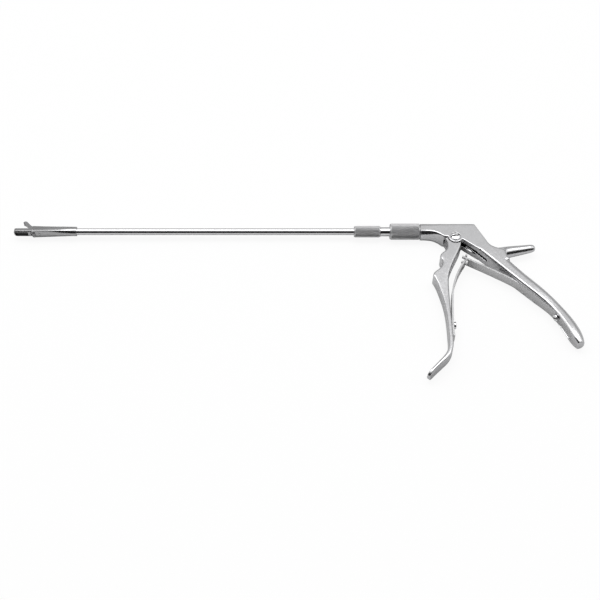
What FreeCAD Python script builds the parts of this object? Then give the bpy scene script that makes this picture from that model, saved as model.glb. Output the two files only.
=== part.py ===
import FreeCAD, Part
import math
import os

import Sketcher

# Cervical biopsy punch with a rotating shaft, lying on its side.
# X runs along the shaft, from the jaws (negative) to the handles (positive).
# Z is the thickness. Pieces are drawn about the middle plane and lifted by half the frame.
# The origin is under the shaft's axis, level with the handle pivot, on the flat side it rests on.

V = FreeCAD.Vector
doc = FreeCAD.newDocument("biopsy_punch")
sheet = doc.addObject("Spreadsheet::Sheet", "dim")

SIZES = (
    ("frame_thick", 10.3, "forged frame, cheek to cheek"),
    ("neck_dia", 9.8, "round neck behind the lock nut"),
    ("neck_length", 19.6, "pivot to the neck's front face"),
    ("neck_straight", 6.4, "round part of the neck, before it widens"),
    ("neck_ramp", 8.0, "length over which the neck widens into the cheeks"),
    ("flare_start", 0.8, "start of the cheeks inside the round neck"),
    ("flare_inset", 0.45, "start of the cheeks above the neck's underside"),
    ("flare_sag", 0.27, "share of the widening reached half way along"),
    ("flare_thick", 3.2, "cheeks where the neck ends"),
    ("top_height", 3.7, "frame's rounded top above the shaft axis"),
    ("cheek_height", 0.7, "flat cheeks above the shaft axis"),
    ("spigot_dia", 7.6, "threaded spigot inside the lock nut"),
    ("spigot_length", 11.5, "threaded spigot, from the neck's face"),
    ("pivot_drop", 8.0, "shaft axis down to the handle pivot"),
    ("boss_dia", 8.4, "round boss of the cheeks about the pivot"),
    ("chin_gap", 3.0, "chin of the cheeks ahead of the boss"),
    ("heel_length", 13.7, "pivot back to the heel, at the shaft axis"),
    ("heel_lean", 23.4, "lean of the sloping heel, degrees from upright"),
    ("slot_width", 3.4, "slot between the cheeks for the lever's tongue"),
    ("slot_top", 1.9, "slot above the shaft axis"),
    ("slot_back", 4.6, "slot's roof behind the pivot"),
    ("slot_length", 14.0, "slot in the grip's front face"),
    ("grip_x", 14.3, "start of the palm grip's centre line behind the pivot"),
    ("grip_drop", 4.75, "start of the palm grip's centre line below the pivot"),
    ("grip_angle", 49.2, "slope of the palm grip, degrees"),
    ("grip_straight", 49.7, "straight run of the palm grip"),
    ("grip_radius", 76.0, "curve of the palm grip's lower run"),
    ("grip_sweep", 28.6, "turn of the palm grip's lower run, degrees"),
    ("grip_depth", 8.4, "palm grip, front to back, at its root"),
    ("grip_tip_depth", 5.6, "palm grip, front to back, at its tip"),
    ("grip_tip_width", 8.0, "palm grip, side to side, at its tip"),
    ("grip_front_round", 0.8, "edges of the palm grip's front face"),
    ("grip_root", 0.2, "share of the palm grip that keeps the frame's width"),
    ("spur_x", 19.0, "root of the thumb spur behind the pivot"),
    ("spur_drop", 10.6, "root of the thumb spur below the pivot"),
    ("spur_angle", 11.5, "rise of the thumb spur, degrees"),
    ("spur_length", 29.5, "thumb spur from its buried root to its tip"),
    ("spur_dia", 7.0, "thumb spur where it leaves the grip"),
    ("spur_tip_dia", 4.6, "thumb spur at its rounded tip"),
    ("spur_flare_dia", 13.2, "thumb spur at its buried root"),
    ("channel_width", 6.4, "channel for the rear leaf spring"),
    ("channel_depth", 1.5, "channel for the rear leaf spring"),
    ("channel_relief", 1.0, "extra depth below the spring's free run"),
    ("channel_start", 20.0, "channel's upper end along the grip"),
    ("channel_end", 81.5, "channel's lower end along the grip"),
    ("rear_screw_run", 65.0, "rear spring's screw along the grip"),
    ("rear_foot_run", 79.5, "rear spring's foot along the grip"),
    ("lever_width", 9.2, "finger lever, side to side"),
    ("lever_round", 0.6, "finger lever's broken edges"),
    ("lever_boss_gap", 0.3, "lever's shoulder to the frame's boss"),
    ("lever_shoulder_end", 50.0, "lever's shoulder behind the pivot, degrees below level"),
    ("tongue_thick", 3.2, "lever's tongue between the cheeks"),
    ("tongue_dia", 8.0, "lever's tongue about the pivot"),
    ("fork_gap", 1.7, "gap between the two ears of the lever's fork"),
    ("fork_dia", 2.9, "rounded ears of the lever's fork"),
    ("fork_arm", 2.1, "arm below the fork's ears"),
    ("screw_dia", 3.0, "pivot screw's shank"),
    ("screw_head_dia", 5.4, "pivot screw's head"),
    ("screw_head_thick", 1.3, "pivot screw's head"),
    ("screw_seat", 0.4, "pivot screw's head below the cheek"),
    ("screw_turn", 10.0, "pivot screw's driver slot, degrees"),
    ("driver_slot", 0.7, "driver slots"),
    ("spring_screw_dia", 2.0, "leaf spring screws' shank"),
    ("spring_head_dia", 4.2, "leaf spring screws' head"),
    ("spring_head_thick", 1.4, "leaf spring screws' head"),
    ("front_screw_drop", 62.2, "front spring's screw below the pivot"),
    ("front_screw_x", 6.4, "front spring's screw ahead of the pivot"),
    ("blade_thick", 1.0, "leaf spring blades"),
    ("blade_width", 6.0, "leaf spring blades"),
    ("blade_lift", 0.12, "leaf spring blades off their seats"),
    ("head_lift", 0.24, "leaf spring screws' heads off the blades"),
    ("joint_x", 5.1, "springs' joint behind the pivot"),
    ("joint_drop", 14.9, "springs' joint below the pivot"),
    ("joint_gap", 3.0, "gap between the rear spring's two prongs"),
    ("joint_neck", 2.7, "front spring's neck between the prongs"),
    ("joint_reach", 1.5, "front spring's neck on either side of the joint"),
    ("joint_head", 1.2, "front spring's crosspiece above the prongs"),
    ("prong_length", 2.3, "rear spring's prongs past the joint"),
    ("nut_dia", 10.2, "knurled lock nut"),
    ("nut_length", 18.6, "knurled lock nut"),
    ("knob_dia", 7.4, "knurled rotation knob"),
    ("knob_length", 15.9, "knurled rotation knob"),
    ("knob_lip", 2.5, "knob's solid front end around the tube"),
    ("knob_gap", 5.6, "sleeve seen between knob and lock nut"),
    ("knurl_chamfer", 0.5, "chamfered ends of both knurled pieces"),
    ("sleeve_dia", 5.5, "sleeve behind the knob"),
    ("flange_dia", 7.2, "sleeve's flange held by the lock nut"),
    ("flange_thick", 1.2, "sleeve's flange"),
    ("washer_thick", 0.5, "slip washer ahead of the flange"),
    ("sleeve_rear", 10.6, "sleeve's rear end, ahead of the pivot"),
    ("shaft_dia", 4.0, "shaft tube, outside"),
    ("shaft_bore", 2.7, "shaft tube, inside"),
    ("shaft_seen", 166.2, "shaft tube seen between head and knob"),
    ("shaft_insert", 7.0, "shaft tube inside the head"),
    ("shaft_rear", 10.8, "shaft tube's rear end, ahead of the pivot"),
    ("bush_length", 6.0, "guide bushes at both ends of the tube"),
    ("rod_dia", 2.0, "drive rod"),
    ("rod_rear", 3.4, "drive rod's rear end, ahead of the pivot"),
    ("rod_nose", 1.4, "drive rod ahead of its cross pin"),
    ("rod_slot", 1.3, "slot in the drive rod's front end"),
    ("spool_dia", 3.1, "flanges of the rod end"),
    ("spool_neck_dia", 1.5, "neck between the flanges"),
    ("spool_neck", 3.2, "length of the neck"),
    ("spool_flange", 0.9, "thickness of each flange"),
    ("hub_dia", 2.9, "rod end's hub"),
    ("hub_length", 3.6, "rod end's hub, with its front flange"),
    ("head_length", 26.6, "cone of the head, from the tube to the jaws"),
    ("head_rear_dia", 5.8, "cone of the head at the tube"),
    ("head_front_dia", 7.0, "cone of the head at the jaws"),
    ("basket_length", 11.0, "fixed jaw ahead of the cone"),
    ("basket_width", 4.9, "fixed jaw, side to side"),
    ("basket_top", 1.0, "fixed jaw above the shaft axis"),
    ("basket_bottom", 1.9, "fixed jaw below the shaft axis"),
    ("basket_wall", 0.9, "fixed jaw's end wall"),
    ("window_width", 3.0, "window through the fixed jaw"),
    ("window_length", 7.6, "window through the fixed jaw"),
    ("jaw_web", 1.7, "web behind the window"),
    ("web_drop", 1.0, "web's top below the shaft axis"),
    ("jaw_pin_back", 1.0, "jaw hinge pin behind the cone's front face"),
    ("jaw_pin_drop", 1.6, "jaw hinge pin below the shaft axis"),
    ("jaw_pin_dia", 1.2, "jaw hinge pin"),
    ("jaw_thick", 2.8, "moving jaw, side to side"),
    ("jaw_hub_dia", 2.6, "moving jaw about its hinge pin"),
    ("jaw_arm_dia", 2.3, "moving jaw about the link pin"),
    ("jaw_open", 45.0, "opening of the moving jaw, degrees"),
    ("jaw_crank", 3.73, "hinge pin to link pin"),
    ("jaw_slot", 1.2, "slot in the jaw for the drive bar's tongue"),
    ("link_pin_dia", 0.9, "link pin"),
    ("bar_width", 3.0, "drive bar, side to side"),
    ("bar_bottom", 1.5, "drive bar's underside above the shaft axis"),
    ("bar_length", 15.0, "drive bar with its tongue"),
    ("bar_tongue", 1.0, "drive bar's tongue between the jaw's cheeks"),
    ("bar_step", 1.6, "drive bar's full width behind the link pin"),
    ("lug_thick", 1.2, "drive bar's lug in the rod's slot"),
    ("lug_length", 2.4, "drive bar's lug"),
    ("lug_back", 2.2, "cross pin ahead of the drive bar's rear end"),
    ("rear_gap", 1.2, "groove behind the drive bar"),
    ("stroke", 2.85, "travel of the drive rod"),
    ("face_gap", 0.1, "gap between pieces that turn face to face"),
    ("fit_gap", 0.05, "radial gap of the running fits"),
    ("seat_gap", 0.02, "radial gap of the fixed fits"),
)

for row, (alias, value, meaning) in enumerate(SIZES, start=1):
    sheet.set(f"A{row}", meaning)
    sheet.set(f"B{row}", str(value))
    sheet.setAlias(f"B{row}", alias)
doc.recompute()


def size(alias):
    """A driving dimension as a number."""
    return float(sheet.get(alias))


# Stations along the shaft, as expressions of the driving dimensions.
NECK_FACE = "(-dim.neck_length)"
SPIGOT_FACE = f"({NECK_FACE} - dim.spigot_length)"
NUT_BACK = f"({NECK_FACE} - dim.face_gap)"
NUT_FRONT = f"({NUT_BACK} - dim.nut_length)"
FLANGE_BACK = f"({SPIGOT_FACE} - dim.face_gap)"
FLANGE_FRONT = f"({FLANGE_BACK} - dim.flange_thick)"
WASHER_BACK = f"({FLANGE_FRONT} - dim.seat_gap)"
WASHER_FRONT = f"({WASHER_BACK} - dim.washer_thick)"
NUT_SEAT = f"({WASHER_FRONT} - dim.face_gap)"
KNOB_BACK = f"({NUT_FRONT} - dim.knob_gap)"
KNOB_FRONT = f"({KNOB_BACK} - dim.knob_length)"
KNOB_SEAT = f"({KNOB_FRONT} + dim.knob_lip)"
HEAD_BACK = f"({KNOB_FRONT} - dim.shaft_seen)"
TUBE_FRONT = f"({HEAD_BACK} - dim.shaft_insert)"
HEAD_FRONT = f"({HEAD_BACK} - dim.head_length)"
BASKET_TIP = f"({HEAD_FRONT} - dim.basket_length)"
JAW_PIN_X = f"({HEAD_FRONT} + dim.jaw_pin_back)"
JAW_PIN_Y = "(-dim.jaw_pin_drop)"
LINK_PIN_X = f"({JAW_PIN_X} + dim.stroke / 2)"
LINK_PIN_Y = "(-dim.jaw_pin_drop + 0.962 * dim.jaw_crank)"
BAR_FRONT = f"({LINK_PIN_X} - 1)"
BAR_BACK = f"({BAR_FRONT} + dim.bar_length)"
ROD_PIN_X = f"({BAR_BACK} - dim.lug_back)"
ROD_FRONT = f"({ROD_PIN_X} - dim.rod_nose)"
SPOOL_FRONT = "(-dim.spool_neck / 2 - dim.spool_flange)"
HUB_FRONT = "(-dim.spool_neck / 2 - dim.spool_flange - dim.hub_length)"


def station(expression):
    """A station as a number."""
    cell = "D1"
    sheet.set(cell, "=" + expression.replace("dim.", ""))
    sheet.recompute()
    return float(sheet.get(cell))


def finish_piece(piece, name):
    """Name a piece and lift it by half the frame's thickness."""
    piece.Label = name
    piece.setExpression("Placement.Base.z", "dim.frame_thick / 2")
    return piece


def origin_plane(body):
    return [item for item in body.Origin.OriginFeatures if item.Role == "XY_Plane"][0]


def bind(sketch, constraint, expression):
    place = sketch.addConstraint(constraint)
    sketch.setExpression(f"Constraints[{place}]", expression)


def turned(name, corners):
    """A piece turned about the shaft's axis from a half section of (station, radius) corners."""
    body = doc.addObject("PartDesign::Body", name)
    sketch = body.newObject("Sketcher::SketchObject", f"{name}_section")
    sketch.AttachmentSupport = [(origin_plane(body), "")]
    sketch.MapMode = "FlatFace"
    places = [V(station(along), station(radius), 0) for along, radius in corners]
    count = len(corners)
    for index in range(count):
        sketch.addGeometry(Part.LineSegment(places[index], places[(index + 1) % count]))
    for index in range(count):
        sketch.addConstraint(Sketcher.Constraint("Coincident", index, 2, (index + 1) % count, 1))
    for index, (along, radius) in enumerate(corners):
        bind(sketch, Sketcher.Constraint("DistanceX", -1, 1, index, 1, places[index].x), along)
        if radius == "0":
            sketch.addConstraint(Sketcher.Constraint("PointOnObject", index, 1, -1))
        else:
            bind(sketch, Sketcher.Constraint("DistanceY", -1, 1, index, 1, places[index].y), radius)
    spin = body.newObject("PartDesign::Revolution", f"{name}_turned")
    spin.Profile = sketch
    spin.ReferenceAxis = (sketch, ["H_Axis"])
    spin.Angle = 360
    return finish_piece(body, name)


def tube(name, front, back, outer, inner):
    """A plain tube between two stations."""
    return turned(name, ((front, inner), (front, outer), (back, outer), (back, inner)))


def cross_pin(name, along, up, diameter, length):
    """A straight pin through the thickness."""
    body = doc.addObject("PartDesign::Body", name)
    sketch = body.newObject("Sketcher::SketchObject", f"{name}_circle")
    sketch.AttachmentSupport = [(origin_plane(body), "")]
    sketch.MapMode = "FlatFace"
    centre = V(station(along), station(up), 0)
    sketch.addGeometry(Part.Circle(centre, V(0, 0, 1), station(diameter) / 2))
    bind(sketch, Sketcher.Constraint("DistanceX", -1, 1, 0, 3, centre.x), along)
    if up == "0":
        sketch.addConstraint(Sketcher.Constraint("PointOnObject", 0, 3, -1))
    else:
        bind(sketch, Sketcher.Constraint("DistanceY", -1, 1, 0, 3, centre.y), up)
    bind(sketch, Sketcher.Constraint("Diameter", 0, station(diameter)), diameter)
    pad = body.newObject("PartDesign::Pad", f"{name}_pad")
    pad.Profile = sketch
    pad.SideType = "Symmetric"
    pad.setExpression("Length", length)
    return finish_piece(body, name)


def shaped(name, shape):
    """A forged, bent or milled piece that takes a shape of its own."""
    piece = doc.addObject("Part::Feature", name)
    piece.Shape = shape
    return finish_piece(piece, name)


# Helpers for the forged, bent and milled shapes.
HALF = size("frame_thick") / 2
PIVOT = V(0, -size("pivot_drop"), 0)
UP = V(0, 0, 1)
FAR = 60.0


def plate_of(corners, thick):
    """A flat plate about the middle plane from (x, y) corners."""
    points = [V(x, y, -thick / 2) for x, y in corners]
    return Part.Face(Part.makePolygon(points + points[:1])).extrude(UP * thick)


def block(x_range, y_range, thick):
    """A box about the middle plane."""
    low = V(x_range[0], y_range[0], -thick / 2)
    return Part.makeBox(x_range[1] - x_range[0], y_range[1] - y_range[0], thick, low)


def post(diameter, centre, low=-FAR, high=FAR):
    """A cylinder along the thickness."""
    return Part.makeCylinder(diameter / 2, high - low, V(centre.x, centre.y, low))


def bar_along_x(diameter, front, back):
    return Part.makeCylinder(diameter / 2, back - front, V(front, 0, 0), V(1, 0, 0))


def curve_through(points):
    spline = Part.BSplineCurve()
    spline.interpolate([V(x, y, 0) for x, y in points])
    return spline


def side_of(direction):
    """The direction turned a quarter turn to the left, in the instrument's plane."""
    return V(-direction.y, direction.x, 0)


# Palm grip: its centre line is straight, then an arc.
def grip_station(run):
    """Centre and direction of the palm grip after a run along its centre line."""
    slope = -math.radians(size("grip_angle"))
    along = V(math.cos(slope), math.sin(slope), 0)
    start = PIVOT + V(size("grip_x"), -size("grip_drop"), 0)
    straight = size("grip_straight")
    if run <= straight:
        return start + along * run, along
    radius = size("grip_radius")
    hub = start + along * straight - side_of(along) * radius
    slope -= (run - straight) / radius
    along = V(math.cos(slope), math.sin(slope), 0)
    return hub + side_of(along) * radius, along


GRIP_LENGTH = size("grip_straight") + size("grip_radius") * math.radians(size("grip_sweep"))


def grip_depth(run):
    """Depth of the palm grip, front to back, after a run along its centre line."""
    share = max(0.0, run / GRIP_LENGTH) ** 2
    return size("grip_depth") + (size("grip_tip_depth") - size("grip_depth")) * share


def grip_front(run, inset=0.0):
    """A point on the palm grip's front face, or inside it by an inset."""
    centre, along = grip_station(run)
    return centre - side_of(along) * (grip_depth(run) / 2 - inset)


def grip_section(run, depth, width, front_round, back_round):
    """A section of the palm grip, with broken edges in front and round behind."""
    centre, along = grip_station(run)
    back = side_of(along)
    corners = ((-depth / 2, -width / 2, front_round, 180), (depth / 2, -width / 2, back_round, 270),
               (depth / 2, width / 2, back_round, 0), (-depth / 2, width / 2, front_round, 90))
    arcs = []
    for place, level, radius, begin in corners:
        hub = V(place - math.copysign(radius, place), level - math.copysign(radius, level), 0)
        points = []
        for angle in (begin, begin + 45, begin + 90):
            turn = math.radians(angle)
            spot = hub + V(math.cos(turn), math.sin(turn), 0) * radius
            points.append(centre + back * spot.x + UP * spot.y)
        arcs.append(points)
    edges = []
    for index, points in enumerate(arcs):
        if index in (1, 2):
            edges.append(Part.Arc(*points).toShape())
        else:
            edges.append(Part.LineSegment(points[0], points[2]).toShape())
        edges.append(Part.LineSegment(points[2], arcs[(index + 1) % 4][0]).toShape())
    return Part.Wire(edges)


def palm_grip():
    """The D-shaped grip, squarer at its root and tip."""
    width, tip_width = size("frame_thick"), size("grip_tip_width")
    sections = []
    root, front_round = size("grip_root"), size("grip_front_round")
    for share in (0.0, root, 0.36, 0.55, 0.8, 0.96, 1.0):
        run = GRIP_LENGTH * share
        depth = grip_depth(run)
        wide = width + (tip_width - width) * (max(0.0, share - root) / (1.0 - root)) ** 1.3
        back_round = 1.0 + (0.44 * wide - 1.0) * min(1.0, share / 0.3)
        if share == 1.0:
            depth *= 0.72
            wide *= 0.8
            back_round *= 0.7
        back_round = min(back_round, 0.62 * depth)
        sections.append(grip_section(run, depth, wide, front_round, back_round))
    return Part.makeLoft(sections, True, False)


def ring(centre, along, half_height, half_width):
    """An elliptical section, seen along a direction in the instrument's plane."""
    up = side_of(along)
    if half_height >= half_width:
        axes = (centre + up * half_height, centre + UP * half_width)
    else:
        axes = (centre + UP * half_width, centre - up * half_height)
    return Part.Wire(Part.Ellipse(axes[0], axes[1], centre).toShape())


def thumb_spur():
    """The round spur, flared where it leaves the grip."""
    angle = math.radians(size("spur_angle"))
    along = V(math.cos(angle), math.sin(angle), 0)
    root = PIVOT + V(size("spur_x"), -size("spur_drop"), 0)
    length = size("spur_length")
    flare, base, tip = size("spur_flare_dia") / 2, size("spur_dia") / 2, size("spur_tip_dia") / 2
    outline = curve_through(((0, flare), (0.12 * length, 0.55 * flare + 0.45 * base),
                             (0.42 * length, base), (0.7 * length, 0.45 * base + 0.55 * tip),
                             (length - tip, tip))).toShape()
    cap = Part.Arc(V(length - tip, tip, 0), V(length - tip * (1 - math.sin(math.pi / 4)),
                                               tip * math.cos(math.pi / 4), 0), V(length, 0, 0)).toShape()
    close = Part.makePolygon([V(length, 0, 0), V(0, 0, 0), V(0, flare, 0)]).Edges
    spur = Part.Face(Part.Wire([outline, cap] + close)).revolve(V(0, 0, 0), V(1, 0, 0), 360)
    spur.Placement = FreeCAD.Placement(root, FreeCAD.Rotation(V(1, 0, 0), along))
    return spur.common(block((0, FAR * 2), (-FAR * 2, FAR), size("frame_thick")))


def heel_point(level):
    """A point of the sloping heel at a level from the shaft axis."""
    return size("heel_length") - level * math.tan(math.radians(size("heel_lean"))), level


def cheeks():
    """Flat cheeks between the round neck, the heel and the palm grip."""
    drop, neck = size("pivot_drop"), size("neck_dia") / 2
    high = size("cheek_height")
    ramp_start = -(size("neck_length") - size("neck_straight"))
    ramp_end = ramp_start + size("neck_ramp")
    front = ramp_start - size("flare_start")
    root = V(front, -neck + size("flare_inset"), 0)
    chin = V(-size("boss_dia") / 2 - size("chin_gap"), -drop, 0)
    middle = V((ramp_start + chin.x) / 2, -neck - (drop - neck) * size("flare_sag"), 0)
    flare = Part.Arc(root, middle, chin).toShape()
    front_high, front_low = grip_front(-14.5), grip_front(3.0)
    heel_end = V(*heel_point(-drop - 1.2), 0)
    saddle_end = V(23.6, -14.9, 0)
    saddle = Part.Arc(heel_end, V(19.9, -12.8, 0), saddle_end).toShape()
    ends = [chin, V(front_high.x, -drop, 0), front_low, saddle_end - V(0, 4, 0), saddle_end]
    rest = [heel_end, V(*heel_point(high), 0), V(front, high, 0), root]
    edges = Part.makePolygon(ends).Edges + [saddle] + Part.makePolygon(rest).Edges + [flare]
    edges = [edge for edge in edges if edge.Length > 0.01]
    plate = Part.Face(Part.Wire(Part.__sortEdges__(edges))).extrude(UP * size("frame_thick"))
    plate.translate(UP * -HALF)
    thin = size("flare_thick") / 2
    thin -= (HALF - thin) * size("flare_start") / size("neck_ramp")
    ramp = [(front, thin), (ramp_end, HALF), (FAR, HALF), (FAR, -HALF), (ramp_end, -HALF),
            (front, -thin)]
    points = [V(x, -FAR, z) for x, z in ramp]
    wedge = Part.Face(Part.makePolygon(points + points[:1])).extrude(V(0, FAR * 2, 0))
    return plate.common(wedge)


def frame_top():
    """The round neck that flattens into the frame's top, cut off by the heel."""
    neck = size("neck_dia") / 2
    ramp_start = -(size("neck_length") - size("neck_straight"))
    ramp_end = ramp_start + size("neck_ramp")
    middle = size("cheek_height")
    rise = size("top_height") - middle
    along = V(1, 0, 0)
    nearly = neck * 0.9999
    top = Part.makeLoft([ring(V(-size("neck_length"), 0, 0), along, nearly, neck),
                         ring(V(ramp_start, 0, 0), along, nearly, neck),
                         ring(V(ramp_end, middle, 0), along, rise, HALF),
                         ring(V(FAR / 2, middle, 0), along, rise, HALF)], True, True)
    high, low = heel_point(FAR / 6), heel_point(-FAR / 6)
    return top.cut(plate_of((high, (FAR, high[1]), (FAR, low[1]), low), FAR))


def rear_handle():
    """The one-piece forged frame: neck, cheeks, boss, heel, thumb spur and palm grip."""
    boss = post(size("boss_dia"), PIVOT, -HALF, HALF)
    spigot = bar_along_x(size("spigot_dia"), station(SPIGOT_FACE), station(NECK_FACE))
    body = frame_top().fuse([cheeks(), palm_grip(), thumb_spur(), boss, spigot]).removeSplitter()
    cavity = -size("sleeve_rear")
    bore = bar_along_x(size("sleeve_dia") + 2 * size("fit_gap"), station(SPIGOT_FACE) - 1, cavity)
    floor = grip_station(size("slot_length"))[0] - V(0, 1.5, 0)
    slot = plate_of(((cavity, size("slot_top")), (size("slot_back"), size("slot_top")),
                     (floor.x, floor.y), (floor.x - 6, floor.y - 8), (cavity, floor.y - 8)),
                    size("slot_width"))
    shank = post(size("screw_dia") + 2 * size("seat_gap"), PIVOT)
    seat = post(size("screw_head_dia") + 0.2, PIVOT, HALF - size("screw_seat"))
    body = body.cut(Part.makeCompound([bore, slot, shank, seat]))
    return body.cut(spring_channel()).cut(screw_hole(*rear_screw_place(), 0.0))


def spring_channel():
    """The channel in the grip's front face that the rear leaf spring lies in."""
    start, end = size("channel_start"), size("channel_end")
    runs = [start + (end - start) * step / 6 for step in range(7)]
    relief = (0, 1.0, 1.0, 0.5, 0, 0, 0)
    floor = [grip_front(run, size("channel_depth") + size("channel_relief") * share)
             for run, share in list(zip(runs, relief))[1:]]
    lip = [grip_front(run, -4.0) for run in (runs[0], runs[-1])]
    inner = curve_through([(spot.x, spot.y) for spot in [grip_front(start, 0.0)] + floor]).toShape()
    outer = Part.makePolygon([floor[-1], lip[1], lip[0], grip_front(start, 0.0)]).Edges
    channel = Part.Face(Part.Wire([inner] + outer)).extrude(UP * size("channel_width"))
    channel.translate(UP * (-size("channel_width") / 2))
    return channel


# Leaf springs: bent strips that meet in a fork and tongue joint.
JOINT = PIVOT + V(size("joint_x"), -size("joint_drop"), 0)


def strip(points, width):
    """A bent strip of the blades' thickness along a smooth line."""
    line = curve_through(points)
    steps = 2 * len(points)
    first, last = line.FirstParameter, line.LastParameter
    edges = []
    offset = size("blade_thick") / 2
    sides = []
    for sign in (1, -1):
        row = []
        for step in range(steps + 1):
            at = first + (last - first) * step / steps
            row.append(line.value(at) + side_of(line.tangent(at)[0]) * (sign * offset))
        sides.append(row)
    for row in sides:
        spline = Part.BSplineCurve()
        spline.interpolate(row)
        edges.append(spline.toShape())
    edges.append(Part.LineSegment(sides[0][0], sides[1][0]).toShape())
    edges.append(Part.LineSegment(sides[0][-1], sides[1][-1]).toShape())
    face = Part.Face(Part.Wire(Part.__sortEdges__(edges)))
    solid = face.extrude(UP * width)
    solid.translate(UP * (-width / 2))
    return solid


def joint_box(along, start, end, width):
    """A box across a blade, between two places along it measured from the joint."""
    side = side_of(along) * 3
    corners = [JOINT + along * start - side, JOINT + along * end - side,
               JOINT + along * end + side, JOINT + along * start + side]
    return plate_of([(spot.x, spot.y) for spot in corners], width)


def rear_screw_place():
    """Seat of the rear spring's screw on the channel's floor, and the way its head faces."""
    run = size("rear_screw_run")
    along = grip_station(run)[1]
    return grip_front(run, size("channel_depth")), side_of(along) * -1


def front_screw_place():
    """Seat of the front spring's screw on the lever, and the way its head faces."""
    lift = size("blade_thick") / 2 + size("blade_lift")
    return PIVOT + V(-size("front_screw_x") - lift, -size("front_screw_drop"), 0), V(1, 0, 0)


def screw_hole(seat, facing, clearance):
    """A hole for a spring screw's shank, through the blade and into its seat."""
    radius = size("spring_screw_dia") / 2 + size("seat_gap") + clearance
    return Part.makeCylinder(radius, 5.3, seat - facing * 2.3, facing)


def slotted_screw(seat, facing, diameters, shank_range, head_thick, slot_turn):
    """A cheese-head screw with a driver slot; the head starts where the shank's range ends."""
    start, end = shank_range
    shank = Part.makeCylinder(diameters[0] / 2, end - start, seat + facing * start, facing)
    head = Part.makeCylinder(diameters[1] / 2, head_thick, seat + facing * end, facing)
    rim = [edge for edge in head.Edges if edge.Closed and
           (edge.CenterOfMass - seat).dot(facing) > end + 0.5 * head_thick]
    head = head.makeChamfer(0.25 * head_thick, rim)
    deep = 0.5 * head_thick
    slot = Part.makeBox(diameters[1] + 1, size("driver_slot"), deep + 1,
                        V(-diameters[1] / 2 - 0.5, -size("driver_slot") / 2, -deep))
    turn = FreeCAD.Rotation(UP, facing) * FreeCAD.Rotation(UP, slot_turn)
    slot.Placement = FreeCAD.Placement(seat + facing * (end + head_thick), turn)
    return shank.fuse(head).removeSplitter().cut(slot)


def rear_leaf_spring():
    """The blade from the palm grip's foot up to the fork."""
    seat = size("channel_depth") - size("blade_thick") / 2 - size("blade_lift")
    screw_run, foot_run = size("rear_screw_run"), size("rear_foot_run")
    seated = [grip_front(run, seat) for run in (foot_run, (foot_run + screw_run) / 2, screw_run)]
    free = [grip_front(51.0, 0.35), V(34.2, -41.9, 0), V(28.0, -37.2, 0), V(21.4, -32.9, 0),
            V(15.0, -28.9, 0)]
    reach = JOINT - free[-1]
    reach.normalize()
    tip = JOINT + reach * size("prong_length")
    blade = strip([(spot.x, spot.y) for spot in seated + free + [JOINT, tip]], size("blade_width"))
    blade = blade.cut(joint_box(reach, -size("joint_reach"), 6.0, size("joint_gap")))
    return blade.cut(screw_hole(*rear_screw_place(), 0.07))


def front_leaf_spring():
    """The blade from the finger lever up to its tongue between the fork's prongs."""
    seat_x = PIVOT.x - size("front_screw_x")
    low = PIVOT.y - size("front_screw_drop")
    reach = V(0.16, 0.987, 0)
    reach.normalize()
    joint_reach, head = size("joint_reach"), size("joint_head")
    tip = JOINT + reach * (joint_reach + head)
    route = [(seat_x, low - 9.0), (seat_x, low), (seat_x + 0.35, low + 6.0), (-5.5, -56.5),
             (-4.7, -48.4), (-2.9, -40.4), (-0.1, -33.0), (2.9, -27.2), (JOINT.x, JOINT.y),
             (tip.x, tip.y)]
    blade = strip(route, size("blade_width"))
    outside = size("blade_width") - size("joint_neck")
    for sign in (1, -1):
        notch = joint_box(reach, -joint_reach, joint_reach, outside)
        notch.translate(UP * (sign * (size("joint_neck") + outside) / 2))
        blade = blade.cut(notch)
    return blade.cut(screw_hole(*front_screw_place(), 0.07))


# Finger lever.
LEVER_FRONT = ((-6.3, -8.45), (-5.5, -10.6), (-5.2, -14.0), (-6.2, -17.4), (-9.2, -20.5), (-10.1, -22.8),
               (-9.2, -25.6), (-9.3, -28.4), (-11.6, -32.0), (-14.4, -34.6), (-15.2, -37.0))
LEVER_SHIN = ((-15.2, -37.0), (-13.5, -41.5), (-12.0, -47.8), (-10.5, -55.8), (-9.7, -64.4),
              (-9.6, -75.7), (-9.9, -84.0), (-11.4, -90.2), (-15.3, -95.6), (-20.0, -101.0),
              (-23.5, -105.3))
LEVER_REAR = ((-21.7, -105.9), (-18.4, -102.0), (-14.2, -97.6), (-9.6, -92.2), (-7.6, -87.0),
              (-7.1, -82.0), (-7.04, -76.0), (-7.03, -70.2), (-7.08, -62.0), (-7.0, -54.0),
              (-6.8, -45.0), (-6.0, -36.5), (-3.6, -28.9), (-1.5, -24.1), (0.7, -19.4), (2.7, -14.4))


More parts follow.
